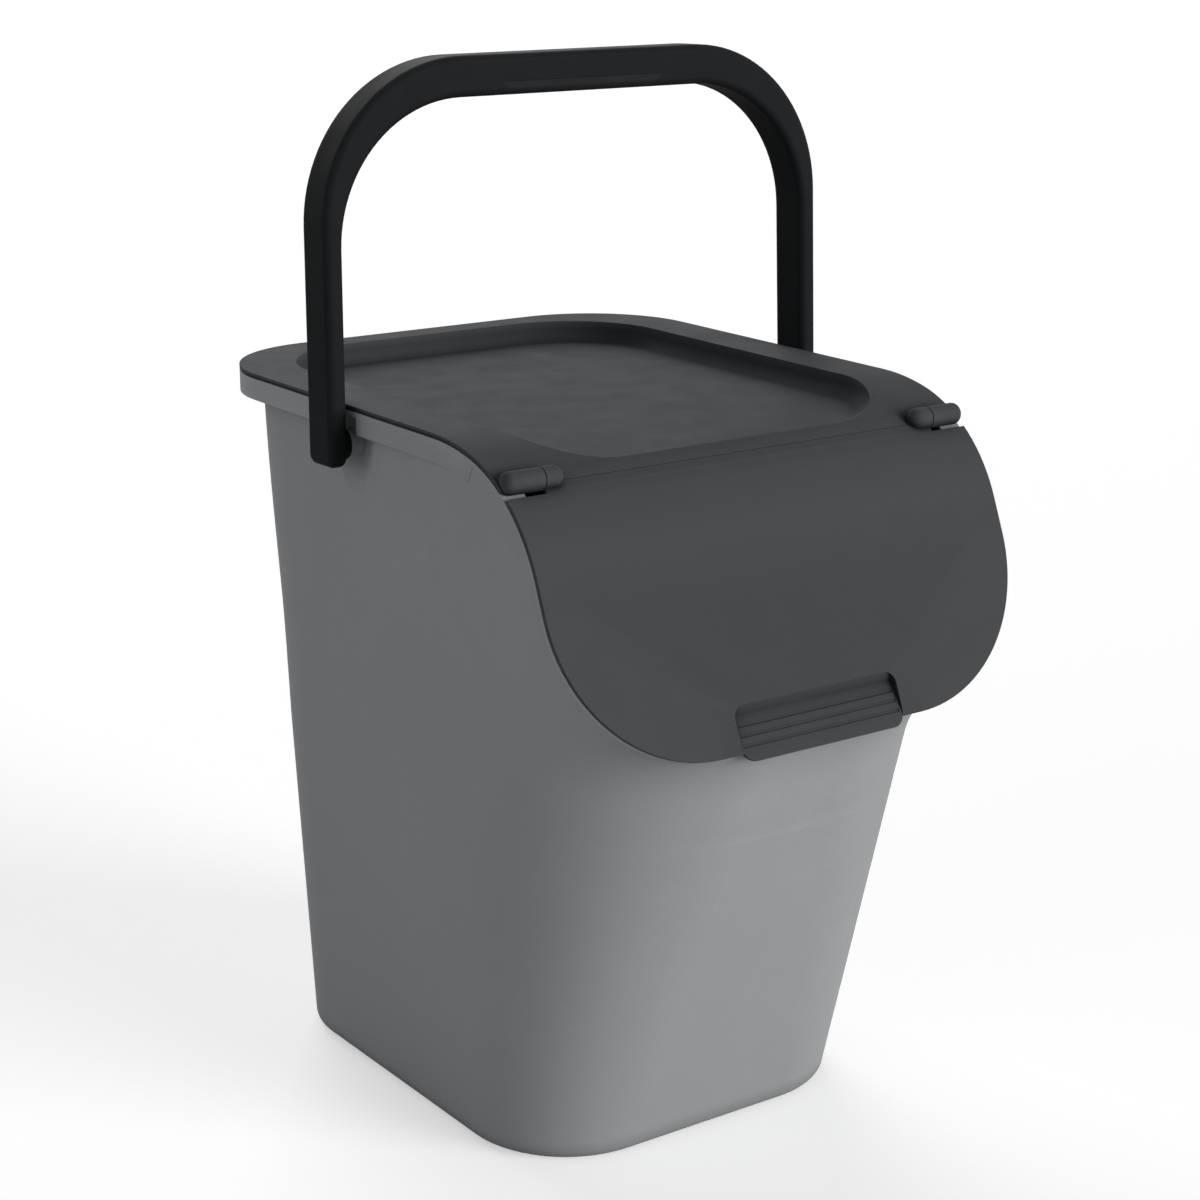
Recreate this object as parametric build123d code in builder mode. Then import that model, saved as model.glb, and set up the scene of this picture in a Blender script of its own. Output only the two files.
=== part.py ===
from build123d import *
import os
from math import cos, radians, sin

# Recycling bin with a hooded front flap, a lift-off lid and a bail handle.
# Millimetres, +Z up, front towards -Y, origin at the centre of the base face.

# Tub walls
base_half = 101.5
base_depth = 247.0
base_corner_r = 54.0
base_edge_r = 6.0
inner_edge_r = 4.0
wall = 2.6
floor_t = 3.0
front_draft = 0.32
rear_draft = 0.008
corner_growth = 0.175
rear_corner_growth = 0.054
rear_growth_z = 120.0
rim_side_overhang = 7.1
rim_rear_overhang = 9.45

# Front of the tub, where it flares out to meet the flap
straight_drop = 186.5
flare_drop = 159.5
flare_rise = 26.0
flare_slope = 0.586
widen_drop = 141.5
widen_rise = 130.0
hood_side_gain = 6.4
corner_tighten = 12.0
tighten_drop = 151.5
tighten_rise = 40.0
section_count = 20
section_over = 3.5

# Side outline shared by the rim, the lid and the flap
lid_z = 356.5
rim_half = 130.0
rim_corner_r = 60.0
brow_setback = 97.64
brow_r = 122.0
brow_angle = 13.6
nose_r = 76.5
nose_angle = 54.0
apron_length = 90.1
apron_corner_r = 73.0

# Rim of the tub
cover_gap = 0.3
rim_t = 2.4
skirt_drop = 13.0
skirt_t = 2.0
skirt_hinge_gap = 16.9
skirt_fade = 16.0
side_step = 0.15

# Lid and flap sheets
sheet_t = 2.2
sheet_lip_t = 1.4
sheet_lip = 1.2
seam = 0.3
tray_side_land = 26.0
tray_front_land = 0.5
tray_rear_land = 15.8
tray_corner_r = 53.0
tray_depth = 10.5
tray_wall = 2.0
tray_floor_r = 6.0
collar_clear = 1.2
collar_t = 2.0
collar_drop = 8.5
collar_reach = 3.1

# Hinge between the lid and the flap
hinge_angle = 33.64
hinge_rise = 1.66
knuckle_r = 5.2
knuckle_side_gap = 0.5
knuckle_end_r = 3.6
knuckle_run = 20.0
knuckle_gap = 0.25
knuckle_length = 11.0
knuckle_clear = 0.5
notch_reach = 4.8
ledge_width = 11.5
ledge_reach = 9.0
hinge_pin_r = 2.4
hinge_pin_half = 8.0
hinge_pin_fit = 0.05
hinge_pin_end_gap = 0.4

# Grip at the bottom of the flap
grip_half = 46.3
grip_top = 21.3
grip_step = 4.1
grip_recess = 3.6
grip_drop = 4.1
grip_proud = 0.9
grip_t = 1.8
grip_top_r = 6.0
grip_low_r = 7.5
groove_r = 1.1
groove_depth = 0.45
groove_count = 3
groove_pitch = 4.7
groove_start = 4.9
groove_end_gap = 1.5

# Bail handle
pivot_setback = 147.3
pivot_drop = 18.5
handle_side_gap = 4.2
handle_draw_in = 2.6
handle_leg_t = 9.4
handle_width = 22.5
handle_rear_gap = 6.7
handle_bar_t = 18.8
handle_lean = 1.5
bend_gain = 5.5
bend_t = 9.5
leg_drop = 9.5
leg_end_r = 5.0
handle_edge_r = 3.6
insert_half = 45.6
insert_t = 6.2
insert_slant = 5.8
insert_gap = 0.12
tongue_inset = 13.6
tongue_width = 9.0
tongue_height = 5.0

# Handle pivots
pin_r = 5.0
pin_fit = 0.08
pin_collar_r = 7.5
pin_collar_gap = 0.3
pin_end_gap = 1.0
pin_boss_r = 7.0
pad_depth = 15.5
pad_half = 21.0
pad_drop = 32.0
pad_rise = 7.0
pad_corner_r = 6.0
scoop_r = 52.0
scoop_depth = 4.3
scoop_drop = 24.0
slot_half = 11.2

# Values that follow from the sizes above
far = 400.0
base_half_depth = base_depth / 2
side_draft = (rim_half - rim_side_overhang - base_half) / lid_z
hood_half = rim_half + hood_side_gain
rim_rear_y = base_half_depth + rear_draft * lid_z + rim_rear_overhang
wall_half = rim_half - side_step
straight_z = lid_z - straight_drop
flare_z = lid_z - flare_drop
widen_z = lid_z - widen_drop
tighten_z = lid_z - tighten_drop
section_step = (straight_drop + section_over) / (section_count - 1)
brow_y = -base_half_depth - front_draft * flare_z + brow_setback
rim_depth = sheet_t + cover_gap
rim_under = rim_depth + rim_t
apron_angle = brow_angle + nose_angle
brow_end_y = brow_y - brow_r * sin(radians(brow_angle))
brow_end_z = lid_z - brow_r * (1 - cos(radians(brow_angle)))
nose_y = brow_end_y + nose_r * sin(radians(brow_angle))
nose_z = brow_end_z - nose_r * cos(radians(brow_angle))
nose_end_y = nose_y - nose_r * sin(radians(apron_angle))
nose_end_z = nose_z + nose_r * cos(radians(apron_angle))
hinge_y = nose_y - (nose_r + hinge_rise) * sin(radians(hinge_angle))
hinge_z = nose_z + (nose_r + hinge_rise) * cos(radians(hinge_angle))
skirt_front_y = hinge_y + skirt_hinge_gap
apron_up = Vector(0, cos(radians(apron_angle)), sin(radians(apron_angle)))
apron_out = Vector(0, -sin(radians(apron_angle)), cos(radians(apron_angle)))
apron_tip = Vector(0, nose_end_y, nose_end_z) - apron_up * apron_length
apron_front = Plane(apron_tip, x_dir=(1, 0, 0), z_dir=apron_out)
apron_side = Plane(apron_tip, x_dir=apron_up, z_dir=(1, 0, 0))
tray_half = rim_half - tray_side_land
tray_front_y = hinge_y + tray_front_land
tray_rear_y = rim_rear_y - tray_rear_land
tray_floor_z = lid_z - tray_depth
collar_z = lid_z - sheet_t - collar_drop
collar_front_y = brow_y - collar_reach
knuckle_end_x = rim_half - knuckle_side_gap
knuckle_split_x = rim_half - knuckle_run
flap_knuckle_x = knuckle_split_x - knuckle_length + knuckle_r
ledge_inner_x = rim_half - ledge_width
groove_half = grip_half - groove_end_gap
pivot_y = rim_rear_y - pivot_setback
pivot_z = lid_z - pivot_drop
handle_inner_half = rim_half + handle_side_gap
handle_foot_half = handle_inner_half + handle_leg_t
handle_top_half = handle_foot_half - handle_draw_in
bar_bottom_z = pivot_z + pivot_setback + handle_rear_gap
handle_top_z = bar_bottom_z + handle_bar_t
bend_inner_r = rim_corner_r + bend_gain
bend_outer_r = bend_inner_r + bend_t
leg_bottom_z = pivot_z - leg_drop
tongue_half = insert_half - tongue_inset
pad_inner_x = rim_half - pad_depth
os.makedirs("parts", exist_ok=True)


def ease(t):
    """Smooth step from 0 to 1."""
    t = min(max(t, 0.0), 1.0)
    return t * t * (3 - 2 * t)


def half_width_rear(z):
    """Half width of the tub at its rear wall."""
    return base_half + side_draft * z


def half_width_front(z):
    """Half width of the tub at its front wall, wider inside the hood."""
    return half_width_rear(z) + (hood_half - half_width_rear(z)) * ease((z - widen_z) / widen_rise)


def rear_wall_y(z):
    """Where the rear wall stands at one height."""
    return base_half_depth + rear_draft * z


def front_wall_y(z):
    """Where the front wall stands: plain draft, then a flare under the flap."""
    rise = max(z - flare_z, 0.0)
    bend = min(rise, flare_rise)
    flare = flare_slope * (bend * bend / (2 * flare_rise) + rise - bend)
    return -base_half_depth - front_draft * z - flare


def side_wall_x(y, z):
    """Half width of the tub part of the way along its side."""
    along = (rear_wall_y(z) - y) / (rear_wall_y(z) - front_wall_y(z))
    return half_width_rear(z) + (half_width_front(z) - half_width_rear(z)) * along


def tub_corners(z, inset):
    """Corner points and corner radii of the tub's plan at one height."""
    tighten = corner_tighten * ease((z - tighten_z) / tighten_rise)
    front_r = base_corner_r + corner_growth * z - tighten - inset
    rear_x = half_width_rear(z) - inset
    rear_y = rear_wall_y(z) - inset
    front_x = half_width_front(z) - inset
    front_y = front_wall_y(z) + inset
    points = [(rear_x, rear_y), (-rear_x, rear_y), (-front_x, front_y), (front_x, front_y)]
    rear_r = base_corner_r + rear_corner_growth * max(z - rear_growth_z, 0) - inset
    return points, [rear_r, rear_r, front_r, front_r]


def wall_loft(heights, inset, smooth):
    """A block lofted through the tub's plan at several heights."""
    with BuildPart() as block:
        for z in heights:
            points, radii = tub_corners(z, inset)
            with BuildSketch(Plane.XY.offset(z)):
                with BuildLine():
                    FilletPolyline(*points, radius=radii, close=True)
                make_face()
        loft(ruled=not smooth)
    return block.part


def tub_body(inset, bottom_z, edge_r):
    """The tub's walls as a closed block that runs up past the rim."""
    flare_heights = [straight_z + section_step * i for i in range(section_count)]
    with BuildPart() as body:
        add(wall_loft([bottom_z, straight_z], inset, False))
        fillet(body.edges().group_by(Axis.Z)[0], edge_r)
        add(wall_loft(flare_heights, inset, True))
    return body.part


def tub_plan(z, inset):
    """A straight block with the tub's plan at one height, from there upwards."""
    points, radii = tub_corners(z, inset)
    with BuildPart() as block:
        with BuildSketch(Plane.XY.offset(z)):
            with BuildLine():
                FilletPolyline(*points, radius=radii, close=True)
            make_face()
        extrude(amount=far)
    return block.part


def hood(depth):
    """Everything below the hood's side outline, taken in by a depth."""
    with BuildPart() as block:
        with BuildSketch(Plane.YZ):
            with BuildLine():
                top = Line((far, lid_z - depth), (brow_y, lid_z - depth))
                brow = JernArc(top @ 1, top % 1, brow_r - depth, brow_angle)
                nose = JernArc(brow @ 1, brow % 1, nose_r - depth, nose_angle)
                apron = Line(nose @ 1, (nose @ 1) + (nose % 1) * far)
                Polyline(apron @ 1, (far, (apron @ 1).Y), top @ 0)
            make_face()
        extrude(amount=far, both=True)
    return block.part


def outline(inset):
    """The covers' outline: rounded rear corners and a rounded flap end."""
    side = rim_half - inset
    back = rim_rear_y - inset
    with BuildPart() as block:
        with BuildSketch():
            with BuildLine():
                FilletPolyline(
                    (-side, -far), (-side, back), (side, back), (side, -far), radius=rim_corner_r - inset
                )
                Line((side, -far), (-side, -far))
            make_face()
        extrude(amount=far)
        with BuildSketch(apron_front):
            with BuildLine():
                FilletPolyline(
                    (-side, far), (-side, inset), (side, inset), (side, far), radius=apron_corner_r - inset
                )
                Line((side, far), (-side, far))
            make_face()
        extrude(amount=far, both=True, mode=Mode.INTERSECT)
    return block.part


def sheet(outer, inner, inset):
    """A skin that follows the hood between two depths."""
    with BuildPart() as skin:
        add(hood(outer))
        add(hood(inner), mode=Mode.SUBTRACT)
        add(outline(inset), mode=Mode.INTERSECT)
    return skin.part


def cover_skin():
    """The lid and flap sheet before it is split: a thin lip over an inset body."""
    with BuildPart() as skin:
        add(sheet(0, sheet_lip_t, 0))
        add(sheet(sheet_lip_t, sheet_t, sheet_lip))
    return skin.part


def box_between(low, high):
    """A block between two opposite corners."""
    middle = tuple((a + b) / 2 for a, b in zip(low, high))
    size = [abs(b - a) for a, b in zip(low, high)]
    with BuildPart() as block:
        with Locations(middle):
            Box(*size)
    return block.part


def shaft(centre_y, centre_z, radius, from_x, to_x):
    """A round shaft along X between two distances from the middle plane."""
    with BuildPart() as rod:
        with BuildSketch(Plane((from_x, centre_y, centre_z), z_dir=(to_x - from_x, 0, 0))):
            Circle(radius)
        extrude(amount=abs(to_x - from_x))
    return rod.part


def tray_block(grow, bottom_z):
    """The lid's tray from one height upwards, with a round foot."""
    width = 2 * (tray_half + grow)
    length = tray_rear_y - tray_front_y + 2 * grow
    with BuildPart() as block:
        with BuildSketch(Plane((0, (tray_rear_y + tray_front_y) / 2, bottom_z))):
            RectangleRounded(width, length, tray_corner_r + grow)
        extrude(amount=far)
        fillet(block.edges().group_by(Axis.Z)[0], tray_floor_r + grow)
    return block.part


def grip_outline(grow):
    """Front outline of the flap's grip as a block through the flap."""
    side = grip_half + grow
    low = -grip_drop
    high = grip_top + grow
    low_r = grip_low_r + grow
    high_r = grip_top_r + grow
    with BuildPart() as block:
        with BuildSketch(apron_front):
            with BuildLine():
                FilletPolyline(
                    (-side, low),
                    (side, low),
                    (side, high),
                    (-side, high),
                    radius=[low_r, low_r, high_r, high_r],
                    close=True,
                )
            make_face()
        extrude(amount=grip_half, both=True)
    return block.part


def grip_front(back):
    """Everything in front of the grip's face, moved back by a distance."""
    with BuildPart() as block:
        with BuildSketch(apron_side):
            with BuildLine():
                Polyline(
                    (grip_top + back, far),
                    (grip_top + back, -min(back, sheet_t) / 2),
                    (grip_top - grip_step + back, -grip_recess - back),
                    (-grip_drop, grip_proud - back),
                    (-grip_drop, far),
                    close=True,
                )
            make_face()
        extrude(amount=far, both=True)
    return block.part


def grip_groove(along):
    """Round tool for one finger groove, measured down the grip's face."""
    face_top = Vector(grip_top - grip_step, -grip_recess)
    face_end = Vector(-grip_drop, grip_proud)
    down = (face_end - face_top).normalized()
    centre = face_top + down * along + Vector(down.Y, -down.X) * (groove_r - groove_depth)
    with BuildPart() as rod:
        with BuildSketch(apron_side):
            with Locations((centre.X, centre.Y)):
                Circle(groove_r)
        extrude(amount=groove_half, both=True)
    return rod.part


def lid_knuckle(side):
    """One of the lid's knuckles: a short barrel with a rounded outer end."""
    with BuildPart() as knuckle:
        add(shaft(hinge_y, hinge_z, knuckle_r, side * (knuckle_split_x + knuckle_gap), side * knuckle_end_x))
        fillet(knuckle.edges().sort_by(Axis((0, 0, 0), (side, 0, 0)))[-1], knuckle_end_r)
    return knuckle.part


def flap_knuckle(grow, side):
    """One of the flap's knuckles: a short barrel with a domed inner end."""
    end_x = knuckle_split_x - knuckle_gap + grow
    with BuildPart() as knuckle:
        add(shaft(hinge_y, hinge_z, knuckle_r + grow, side * flap_knuckle_x, side * end_x))
        with Locations((side * flap_knuckle_x, hinge_y, hinge_z)):
            Sphere(knuckle_r + grow)
    return knuckle.part


def scoop(side):
    """Round tool for the shallow scoop in the wall round a handle pivot."""
    low_z = pivot_z - scoop_drop
    high_z = pivot_z + pin_r
    low = Vector(side * (side_wall_x(pivot_y, low_z) + scoop_r), pivot_y, low_z)
    high = Vector(side * (side_wall_x(pivot_y, high_z) + scoop_r - scoop_depth), pivot_y, high_z)
    with BuildPart() as block:
        with BuildSketch(Plane(low * 2 - high, z_dir=high - low)):
            Circle(scoop_r)
        extrude(amount=(high - low).length * 3)
        split(bisect_by=Plane.XY.offset(high_z), keep=Keep.BOTTOM)
    return block.part


def pivot_pad(side):
    """The thick pad behind the wall that carries a handle pivot."""
    low_z = pivot_z - pad_drop
    high_z = pivot_z + pad_rise
    with BuildPart() as block:
        with BuildSketch(Plane((side * pad_inner_x, pivot_y, (low_z + high_z) / 2), (0, 1, 0), (side, 0, 0))):
            RectangleRounded(2 * pad_half, high_z - low_z, pad_corner_r)
        extrude(amount=rim_half - pad_inner_x)
    return block.part


def handle_face():
    """Front outline of the handle: two legs under a bar with round bends."""
    top_inner_half = handle_top_half - handle_leg_t
    with BuildSketch(Plane.XZ.offset(-pivot_y)) as face:
        with BuildLine():
            FilletPolyline(
                (-handle_foot_half, leg_bottom_z),
                (-handle_top_half, handle_top_z),
                (handle_top_half, handle_top_z),
                (handle_foot_half, leg_bottom_z),
                radius=bend_outer_r,
            )
            Line((handle_foot_half, leg_bottom_z), (handle_inner_half, leg_bottom_z))
            FilletPolyline(
                (handle_inner_half, leg_bottom_z),
                (top_inner_half, bar_bottom_z),
                (-top_inner_half, bar_bottom_z),
                (-handle_inner_half, leg_bottom_z),
                radius=bend_inner_r,
            )
            Line((-handle_inner_half, leg_bottom_z), (-handle_foot_half, leg_bottom_z))
        make_face()
    return face.sketch


def insert_block(grow, width):
    """The grip insert's shape: a bar under the handle with slanted ends."""
    low = insert_half - insert_slant + grow
    high = insert_half + grow
    top_z = bar_bottom_z + insert_t + grow
    with BuildPart() as block:
        with BuildSketch(Plane.XZ.offset(-pivot_y)):
            with BuildLine():
                Polyline((-low, bar_bottom_z), (low, bar_bottom_z), (high, top_z), (-high, top_z), close=True)
            make_face()
        extrude(amount=width / 2, both=True)
    return block.part


def tongue_block(grow):
    """The rib that locates the grip insert in the handle's bar."""
    half = tongue_half + grow
    side = tongue_width / 2 + grow
    low_z = bar_bottom_z + insert_t / 2
    high_z = bar_bottom_z + insert_t + tongue_height + grow
    return box_between((-half, pivot_y - side, low_z), (half, pivot_y + side, high_z))


# Tub
with BuildPart() as tub_block:
    add(tub_body(0, 0, base_edge_r))
    add(box_between((-wall_half, -far, 0), (wall_half, far, far)), mode=Mode.INTERSECT)
    for side in (-1, 1):
        add(scoop(side), mode=Mode.SUBTRACT)
with BuildPart() as skirt:
    add(sheet(rim_depth, skirt_drop, 0))
    add(outline(skirt_t), mode=Mode.SUBTRACT)
    with BuildSketch(Plane.YZ):
        with BuildLine():
            Polyline(
                (skirt_front_y, lid_z),
                (skirt_front_y + skirt_fade, lid_z - skirt_drop - skirt_fade),
                (skirt_front_y + skirt_fade, 0),
                (-far, 0),
                (-far, lid_z),
                close=True,
            )
        make_face()
    extrude(amount=far, both=True, mode=Mode.SUBTRACT)
    with Locations((0, pivot_y, lid_z - rim_under)):
        Box(far, 2 * slot_half, far, align=(Align.CENTER, Align.CENTER, Align.MAX), mode=Mode.SUBTRACT)
with BuildPart() as pads:
    for side in (-1, 1):
        add(pivot_pad(side))
    add(tub_block.part, mode=Mode.INTERSECT)
with BuildPart() as hinge_ledges:
    for side in (-1, 1):
        low = (side * ledge_inner_x, hinge_y - ledge_reach, 0)
        high = (side * rim_half, hinge_y + ledge_reach, far)
        add(box_between(low, high))
    add(sheet(rim_depth, rim_under, 0), mode=Mode.INTERSECT)
with BuildPart() as tub:
    add(tub_block.part)
    add(hood(rim_depth), mode=Mode.INTERSECT)
    add(sheet(rim_depth, rim_under, 0))
    add(tub_body(wall, floor_t, inner_edge_r), mode=Mode.SUBTRACT)
    add(skirt.part)
    add(hinge_ledges.part)
    add(pads.part)
    for side in (-1, 1):
        add(shaft(pivot_y, pivot_z, pin_boss_r, side * (pad_inner_x + wall), side * rim_half))
        bore = shaft(pivot_y, pivot_z, pin_r + pin_fit, side * (pad_inner_x - pin_r), side * rim_half)
        add(bore, mode=Mode.SUBTRACT)
tub.part.label = "tub"
export_step(tub.part, "parts/tub.step")

# Lid
with BuildPart() as lid_collar:
    add(tub_plan(collar_z, wall + collar_clear))
    add(tub_plan(collar_z, wall + collar_clear + collar_t), mode=Mode.SUBTRACT)
    add(hood(sheet_t / 2), mode=Mode.INTERSECT)
    split(bisect_by=Plane.XZ.offset(-collar_front_y), keep=Keep.BOTTOM)
with BuildPart() as lid_knuckles:
    for side in (-1, 1):
        add(lid_knuckle(side))
    add(hood(sheet_t), mode=Mode.SUBTRACT)
with BuildPart() as tray_shell:
    add(tray_block(tray_wall, tray_floor_z - sheet_t))
    add(hood(0), mode=Mode.INTERSECT)
with BuildPart() as lid:
    add(cover_skin())
    add(tray_shell.part)
    add(tray_block(0, tray_floor_z), mode=Mode.SUBTRACT)
    split(bisect_by=Plane.XZ.offset(-hinge_y - seam / 2), keep=Keep.BOTTOM)
    add(lid_collar.part)
    for side in (-1, 1):
        add(flap_knuckle(knuckle_clear, side), mode=Mode.SUBTRACT)
    add(lid_knuckles.part)
    for side in (-1, 1):
        from_x = side * knuckle_split_x
        add(shaft(hinge_y, hinge_z, hinge_pin_r, from_x, from_x + side * hinge_pin_half), mode=Mode.SUBTRACT)
lid.part.label = "lid"
export_step(lid.part, "parts/lid.step")

# Flap
with BuildPart() as grip_shell:
    add(grip_outline(grip_t))
    add(grip_front(grip_t), mode=Mode.INTERSECT)
    add(hood(0), mode=Mode.INTERSECT)
    add(outline(0), mode=Mode.INTERSECT)
with BuildPart() as grip_plate:
    add(grip_outline(0))
    add(grip_front(grip_t), mode=Mode.INTERSECT)
    add(grip_front(0), mode=Mode.SUBTRACT)
with BuildPart() as grip_hollow:
    add(grip_outline(0))
    add(grip_front(0), mode=Mode.INTERSECT)
with BuildPart() as flap:
    add(cover_skin())
    split(bisect_by=Plane.XZ.offset(-hinge_y + seam / 2), keep=Keep.TOP)
    for side in (-1, 1):
        low = (side * (knuckle_split_x - knuckle_gap), hinge_y - notch_reach, 0)
        high = (side * far, hinge_y + notch_reach, far)
        add(box_between(low, high), mode=Mode.SUBTRACT)
        add(flap_knuckle(0, side))
    add(grip_shell.part)
    add(grip_plate.part)
    add(grip_hollow.part, mode=Mode.SUBTRACT)
    for i in range(groove_count):
        along = groove_start + groove_pitch * i
        add(grip_groove(along), mode=Mode.SUBTRACT)
    for side in (-1, 1):
        from_x = side * knuckle_split_x
        to_x = from_x - side * (hinge_pin_half + hinge_pin_end_gap)
        add(shaft(hinge_y, hinge_z, hinge_pin_r + hinge_pin_fit, from_x, to_x), mode=Mode.SUBTRACT)
flap.part.label = "flap"
export_step(flap.part, "parts/flap.step")

# Hinge pins
with BuildPart() as hinge_pins:
    for side in (-1, 1):
        middle = side * knuckle_split_x
        add(shaft(hinge_y, hinge_z, hinge_pin_r, middle - hinge_pin_half, middle + hinge_pin_half))
hinge_pins.part.label = "hinge_pins"
export_step(hinge_pins.part, "parts/hinge_pins.step")

# Handle, drawn upright and then leaned back about its pivots
pivot_axis = Axis((0, pivot_y, pivot_z), (1, 0, 0))
with BuildPart() as arch:
    extrude(handle_face(), amount=handle_width / 2, both=True)
    fillet(arch.edges().filter_by(Axis.X).group_by(Axis.Z)[0], leg_end_r)
    fillet(arch.faces().filter_by(Axis.Y).edges(), handle_edge_r)
with BuildPart() as upright_grip:
    add(arch.part)
    add(insert_block(0, handle_width), mode=Mode.INTERSECT)
    add(tongue_block(0))
with BuildPart() as upright_handle:
    add(arch.part)
    add(insert_block(insert_gap, 2 * handle_width), mode=Mode.SUBTRACT)
    add(tongue_block(insert_gap), mode=Mode.SUBTRACT)
    for side in (-1, 1):
        root_x = side * (handle_inner_half + handle_leg_t / 2)
        collar_x = side * (rim_half + pin_collar_gap)
        add(shaft(pivot_y, pivot_z, pin_collar_r, root_x, collar_x))
        add(shaft(pivot_y, pivot_z, pin_r, root_x, side * (pad_inner_x + pin_end_gap)))
with BuildPart() as handle_grip:
    add(upright_grip.part.rotate(pivot_axis, -handle_lean))
handle_grip.part.label = "handle_grip"
export_step(handle_grip.part, "parts/handle_grip.step")
with BuildPart() as handle:
    add(upright_handle.part.rotate(pivot_axis, -handle_lean))
handle.part.label = "handle"
export_step(handle.part, "parts/handle.step")
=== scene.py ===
import bpy
from math import cos, radians, sin
from mathutils import Matrix, Vector

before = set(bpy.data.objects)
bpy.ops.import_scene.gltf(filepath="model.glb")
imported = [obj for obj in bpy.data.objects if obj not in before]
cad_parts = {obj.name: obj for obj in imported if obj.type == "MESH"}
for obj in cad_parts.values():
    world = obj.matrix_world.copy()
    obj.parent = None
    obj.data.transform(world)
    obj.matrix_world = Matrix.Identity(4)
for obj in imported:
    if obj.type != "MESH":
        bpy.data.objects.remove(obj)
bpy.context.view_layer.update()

# Plastic: sizes of its patterns in metres, then its colours
drift_size = 0.11
flow_size = 0.018
speck_per_grain = 2.6
# How far, in metres, and with how many samples the painted shade in hollows looks for nearby surfaces
painted_shade_reach = 0.012
painted_shade_samples = 6
tub_colour = (0.268, 0.276, 0.283)
lid_colour = (0.0500, 0.0530, 0.0560)
handle_colour = (0.0092, 0.0100, 0.0110)

# Floor and world
floor_size = 80
floor_drop = 0.0005
floor_colour = (0.7, 0.7, 0.7, 1)
floor_rough = 0.9
floor_gloss = 0.1
floor_glow = 0.5
fill_strength = 0.17
white = (1, 1, 1, 1)

# Camera at the photograph's place, in metres, degrees and millimetres
camera_place = (-0.70883, -1.03025, 0.59673)
camera_yaw = 35.38
camera_pitch = 15.98
camera_roll = 0.13
camera_lens = 77.555
camera_sensor = 36.0
camera_nearest = 0.05


def node(tree, kind, **inputs):
    """Adds a shader node and sets the inputs that are named."""
    made = tree.nodes.new(kind)
    for name, value in inputs.items():
        made.inputs[name.replace("_", " ")].default_value = value
    return made


def ramp(tree, source, low, high, dark, light):
    """Maps one range of values to another."""
    made = node(tree, "ShaderNodeMapRange", From_Min=low, From_Max=high, To_Min=dark, To_Max=light)
    tree.links.new(source, made.inputs["Value"])
    return made.outputs["Result"]


def noise(tree, place, size, detail):
    """A soft pattern whose features are about one size, in metres."""
    made = node(tree, "ShaderNodeTexNoise", Scale=1 / size, Detail=detail, Roughness=0.55)
    tree.links.new(place, made.inputs["Vector"])
    return made.outputs["Fac"]


def mix(tree, factor, first, second, blend="MIX"):
    """Blends two colours, each a plain colour or another node's output."""
    made = tree.nodes.new("ShaderNodeMix")
    made.data_type = "RGBA"
    made.blend_type = blend
    for name, value in (("Factor", factor), ("A", first), ("B", second)):
        if isinstance(value, bpy.types.NodeSocket):
            tree.links.new(value, made.inputs[name])
        else:
            made.inputs[name].default_value = value
    return made.outputs["Result"]


def choose(tree, factor, first, second):
    """Blends two shaders by a factor that tells kinds of light ray apart."""
    made = tree.nodes.new("ShaderNodeMixShader")
    tree.links.new(factor, made.inputs["Fac"])
    tree.links.new(first, made.inputs[1])
    tree.links.new(second, made.inputs[2])
    return made.outputs["Shader"]


def shade(colour, factor):
    """One colour made darker or lighter."""
    return (*[c * factor for c in colour], 1)


def bump(tree, height, depth, strength, under=None):
    """A bump of one depth, in metres, over another bump."""
    made = node(tree, "ShaderNodeBump", Strength=strength, Distance=depth)
    tree.links.new(height, made.inputs["Height"])
    if under:
        tree.links.new(under, made.inputs["Normal"])
    return made.outputs["Normal"]


def plastic(name, colour, rough, gloss, grain_size, grain_depth, rub, painted_shade):
    """Moulded plastic: spark-eroded grain, a faint flow in the colour, rubbed edges, and painted shade
    that darkens its hollows and crevices.
    """
    mat = bpy.data.materials.new(name)
    mat.use_nodes = True
    tree = mat.node_tree
    shader = tree.nodes["Principled BSDF"]
    place = tree.nodes.new("ShaderNodeTexCoord").outputs["Object"]
    drift = noise(tree, place, drift_size, 2)
    flow = noise(tree, place, flow_size, 4)
    grain = noise(tree, place, grain_size, 3)
    speck = noise(tree, place, grain_size * speck_per_grain, 1)
    edge = ramp(tree, tree.nodes.new("ShaderNodeNewGeometry").outputs["Pointiness"], 0.54, 0.62, 0, rub)

    body = mix(tree, ramp(tree, drift, 0.3, 0.7, 0, 1), shade(colour, 0.97), shade(colour, 1.03))
    body = mix(tree, ramp(tree, flow, 0.35, 0.65, 0, 1), body, shade(colour, 0.99))
    fleck = ramp(tree, grain, 0.25, 0.75, 0.93, 1.07)
    body = mix(tree, 1, body, fleck, "MULTIPLY")
    body = mix(tree, edge, body, shade(colour, 1.7))
    # Painted shade: the colour is darkened where nearby surfaces close in, in hollows, crevices and under
    # parts, where less light falls
    hollow = node(tree, "ShaderNodeAmbientOcclusion", Distance=painted_shade_reach)
    hollow.samples = painted_shade_samples
    painted_shade_mask = ramp(tree, hollow.outputs["AO"], 0.7, 0.9, painted_shade, 0)
    body = mix(tree, painted_shade_mask, body, shade(colour, 0.3))
    tree.links.new(body, shader.inputs["Base Color"])

    tree.links.new(ramp(tree, flow, 0.3, 0.7, rough - 0.04, rough + 0.04), shader.inputs["Roughness"])
    shader.inputs["Specular IOR Level"].default_value = gloss
    skin = bump(tree, speck, grain_depth, 0.25)
    tree.links.new(bump(tree, grain, grain_depth, 0.5, skin), shader.inputs["Normal"])
    return mat


def dress(finishes):
    """Gives each node its material."""
    for name, material in finishes.items():
        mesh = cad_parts[name].data
        mesh.materials.clear()
        mesh.materials.append(material)


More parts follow.
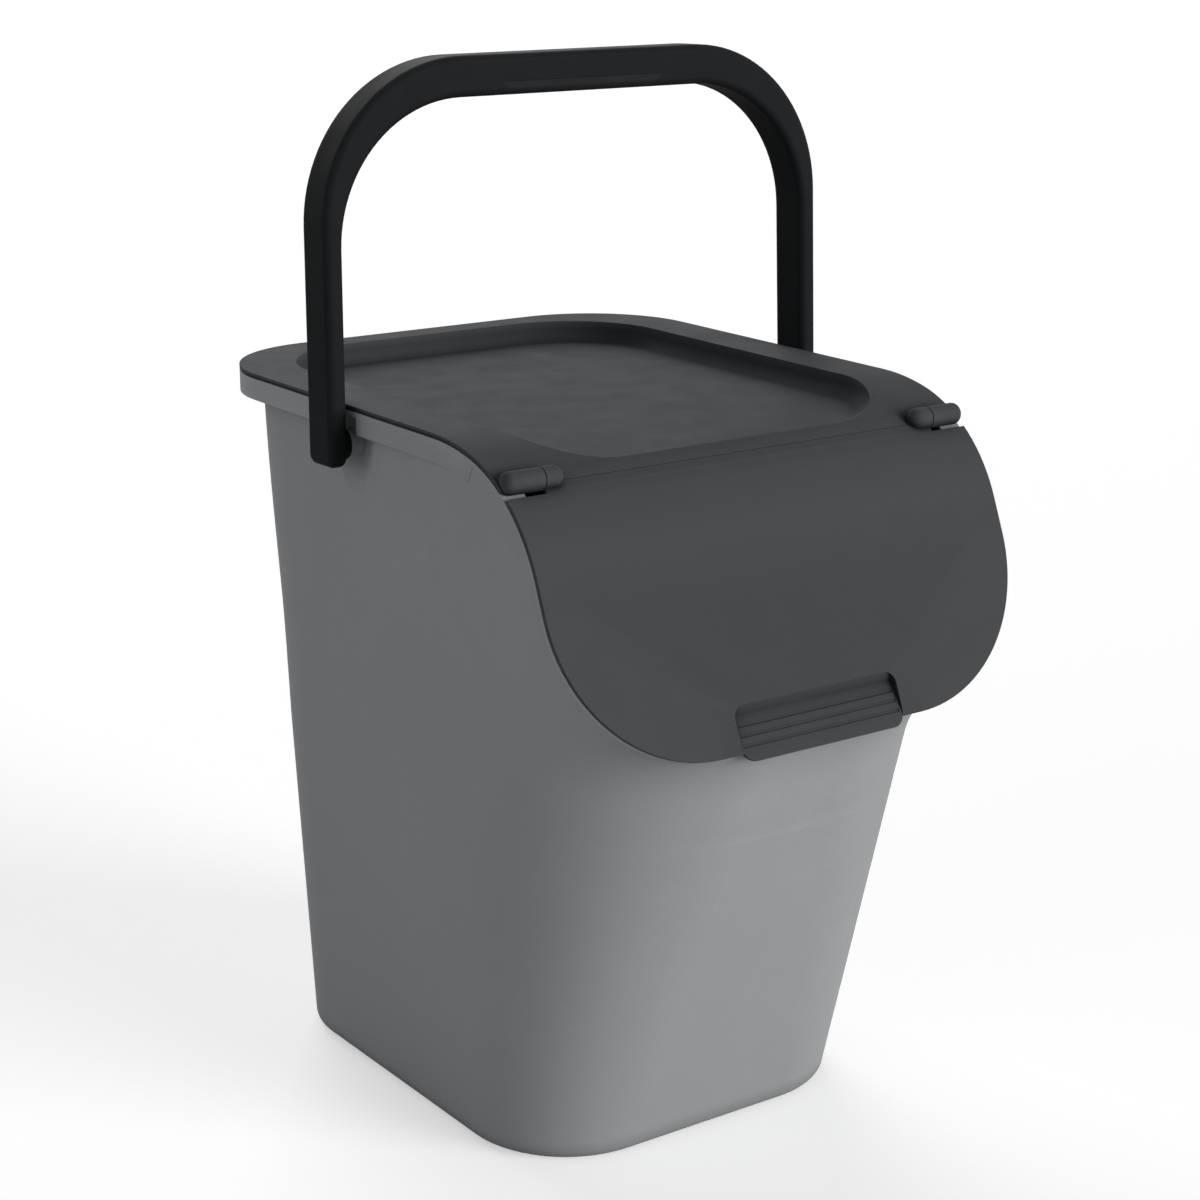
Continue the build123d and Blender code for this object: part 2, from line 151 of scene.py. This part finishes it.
def add_floor():
    """A floor that is white to the camera and keeps the bin's shadow."""
    bpy.ops.mesh.primitive_plane_add(size=floor_size, location=(0, 0, -floor_drop))
    floor = bpy.context.object
    floor.name = "floor"
    paper = bpy.data.materials.new("floor_white")
    paper.use_nodes = True
    tree = paper.node_tree
    shader = tree.nodes["Principled BSDF"]
    shader.inputs["Base Color"].default_value = floor_colour
    shader.inputs["Roughness"].default_value = floor_rough
    shader.inputs["Specular IOR Level"].default_value = floor_gloss
    glow = node(tree, "ShaderNodeEmission", Strength=floor_glow)
    both = tree.nodes.new("ShaderNodeAddShader")
    tree.links.new(shader.outputs["BSDF"], both.inputs[0])
    tree.links.new(glow.outputs["Emission"], both.inputs[1])
    seen = tree.nodes.new("ShaderNodeLightPath").outputs["Is Camera Ray"]
    surface = choose(tree, seen, shader.outputs["BSDF"], both.outputs["Shader"])
    tree.links.new(surface, tree.nodes["Material Output"].inputs["Surface"])
    floor.data.materials.append(paper)


def add_world():
    """White where it is seen, also in a reflection, and a dim even fill elsewhere."""
    world = bpy.data.worlds.new("studio")
    bpy.context.scene.world = world
    world.use_nodes = True
    tree = world.node_tree
    fill = tree.nodes["Background"]
    fill.inputs["Color"].default_value = white
    fill.inputs["Strength"].default_value = fill_strength
    bright = node(tree, "ShaderNodeBackground", Strength=1, Color=white)
    rays = tree.nodes.new("ShaderNodeLightPath").outputs
    seen = rays["Is Camera Ray"]
    for kind in ("Is Glossy Ray", "Is Transmission Ray"):
        either = tree.nodes.new("ShaderNodeMath")
        either.operation = "MAXIMUM"
        tree.links.new(seen, either.inputs[0])
        tree.links.new(rays[kind], either.inputs[1])
        seen = either.outputs["Value"]
    surface = choose(tree, seen, fill.outputs["Background"], bright.outputs["Background"])
    tree.links.new(surface, tree.nodes["World Output"].inputs["Surface"])


def sun(name, towards, strength, spread):
    """A soft even light from one direction, with its spread in degrees."""
    data = bpy.data.lights.new(name, "SUN")
    data.energy = strength
    data.angle = radians(spread)
    made = bpy.data.objects.new(name, data)
    made.rotation_euler = Vector(towards).to_track_quat("Z", "Y").to_euler()
    bpy.context.collection.objects.link(made)


def add_camera():
    """The camera that took the photograph, turned by its yaw, pitch and roll."""
    yaw = radians(camera_yaw)
    pitch = radians(camera_pitch)
    roll = radians(camera_roll)
    forward = Vector((sin(yaw) * cos(pitch), cos(yaw) * cos(pitch), -sin(pitch)))
    right = Vector((cos(yaw), -sin(yaw), 0.0))
    up = right.cross(forward)
    right_rolled = cos(roll) * right + sin(roll) * up
    up_rolled = cos(roll) * up - sin(roll) * right
    turn = Matrix((right_rolled, up_rolled, -forward)).transposed()
    data = bpy.data.cameras.new("camera")
    data.sensor_width = camera_sensor
    data.lens = camera_lens
    data.clip_start = camera_nearest
    camera = bpy.data.objects.new("camera", data)
    camera.matrix_world = Matrix.Translation(camera_place) @ turn.to_4x4()
    bpy.context.collection.objects.link(camera)
    bpy.context.scene.camera = camera


# painted_shade sets how dark each finish's painted shade in its hollows gets
tub_grey = plastic(
    "tub_grey_moulded", tub_colour,
    rough=0.7, gloss=0.08, grain_size=0.0005, grain_depth=0.00003, rub=0.2, painted_shade=0.3,
)
lid_grey = plastic(
    "lid_grey_moulded", lid_colour,
    rough=0.75, gloss=0.05, grain_size=0.0005, grain_depth=0.00003, rub=0.2, painted_shade=0.9,
)
handle_black = plastic(
    "handle_black_moulded", handle_colour,
    rough=0.66, gloss=0.045, grain_size=0.0004, grain_depth=0.00003, rub=0.25, painted_shade=0.2,
)
grip_black = plastic(
    "grip_black_moulded", handle_colour,
    rough=0.6, gloss=0.06, grain_size=0.0004, grain_depth=0.00004, rub=0.15, painted_shade=0.2,
)
dress({
    "tub": tub_grey,
    "lid": lid_grey,
    "flap": lid_grey,
    "hinge_pins": lid_grey,
    "handle": handle_black,
    "handle_grip": grip_black,
})

add_floor()
add_world()
sun("key_front_right", towards=(0.45, -0.85, 0.16), strength=3.75, spread=36)
sun("back_top", towards=(0.2, 0.82, 0.46), strength=1.7, spread=50)
sun("side_left", towards=(-0.98, -0.12, 0.12), strength=0.7, spread=60)
add_camera()

bpy.context.scene.view_settings.view_transform = "Standard"
